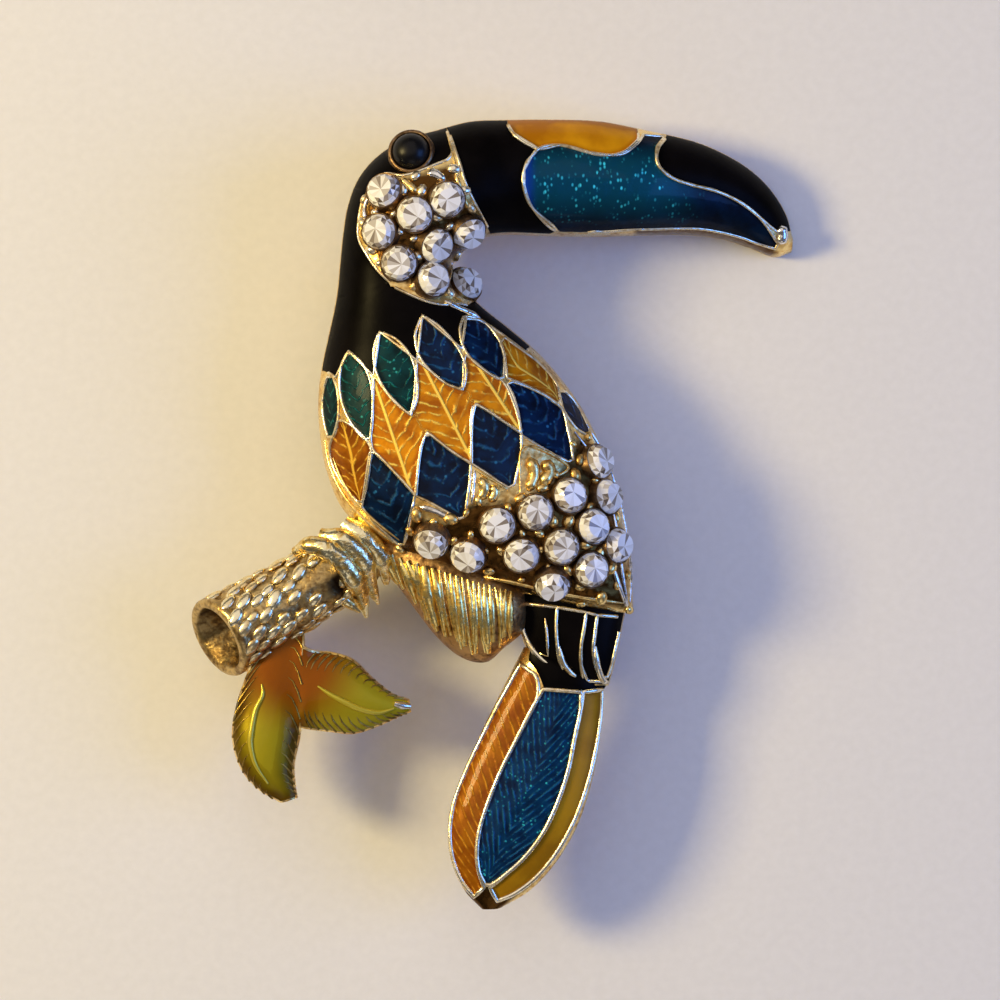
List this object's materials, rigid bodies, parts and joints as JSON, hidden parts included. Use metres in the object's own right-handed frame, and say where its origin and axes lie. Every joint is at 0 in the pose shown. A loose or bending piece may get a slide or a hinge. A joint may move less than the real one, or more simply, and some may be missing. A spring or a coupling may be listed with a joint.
{
  "type": "toucan brooch",
  "caption": "Toucan brooch: hollow cast gold-tone metal with enamel cells, clear cut stones in cups, a dark cabochon eye, a branch with leaves and a bar pin on the back.",
  "frame": {"origin": "middle of the brooch's box, on the surface it lies on", "axes": "+Y from the tail to the head, +X from the branch to the bill's tip, +Z out of the face"},
  "size_m": [0.0461, 0.0599, 0.0143],
  "materials": {
    "gold_metal": "polished gold plate with darkened hollows",
    "pin_metal": "plated steel",
    "black_enamel": "glossy",
    "amber_enamel": "glossy, translucent over metal",
    "teal_enamel": "glossy, translucent, with glitter",
    "blue_enamel": "glossy, translucent over metal",
    "ochre_enamel": "glossy",
    "leaf_enamel": "glossy, translucent over metal",
    "clear_stone": "cut and foiled",
    "black_cabochon": "polished"
  },
  "bodies": {
    "root": {"casting": "gold_metal", "pin_back": "pin_metal", "bill_base": "black_enamel", "bill_saddle": "amber_enamel", "bill_side": "teal_enamel", "bill_tip": "black_enamel", "nape": "black_enamel", "yoke": "black_enamel", "teal_1": "teal_enamel", "teal_2": "teal_enamel", "teal_3": "teal_enamel", "teal_4": "teal_enamel", "teal_5": "teal_enamel", "amber_1": "amber_enamel", "amber_2": "amber_enamel", "amber_3": "amber_enamel", "blue_1": "blue_enamel", "blue_2": "blue_enamel", "blue_3": "blue_enamel", "blue_4": "blue_enamel", "blue_5": "blue_enamel", "covert_1": "black_enamel", "covert_2": "black_enamel", "covert_3": "black_enamel", "covert_4": "black_enamel", "tail_amber": "amber_enamel", "tail_blue": "blue_enamel", "tail_ochre": "ochre_enamel", "leaf_down_glaze": "leaf_enamel", "leaf_side_glaze": "leaf_enamel", "eye": "black_cabochon", "face_stone_1": "clear_stone", "face_stone_2": "clear_stone", "face_stone_3": "clear_stone", "face_stone_4": "clear_stone", "face_stone_5": "clear_stone", "face_stone_6": "clear_stone", "face_stone_7": "clear_stone", "face_stone_8": "clear_stone", "face_stone_9": "clear_stone", "wing_stone_1": "clear_stone", "wing_stone_2": "clear_stone", "wing_stone_3": "clear_stone", "wing_stone_4": "clear_stone", "wing_stone_5": "clear_stone", "wing_stone_6": "clear_stone", "wing_stone_7": "clear_stone", "wing_stone_8": "clear_stone", "wing_stone_9": "clear_stone", "wing_stone_10": "clear_stone", "wing_stone_11": "clear_stone", "wing_stone_12": "clear_stone", "wing_stone_13": "clear_stone"}
  },
  "joints": []
}
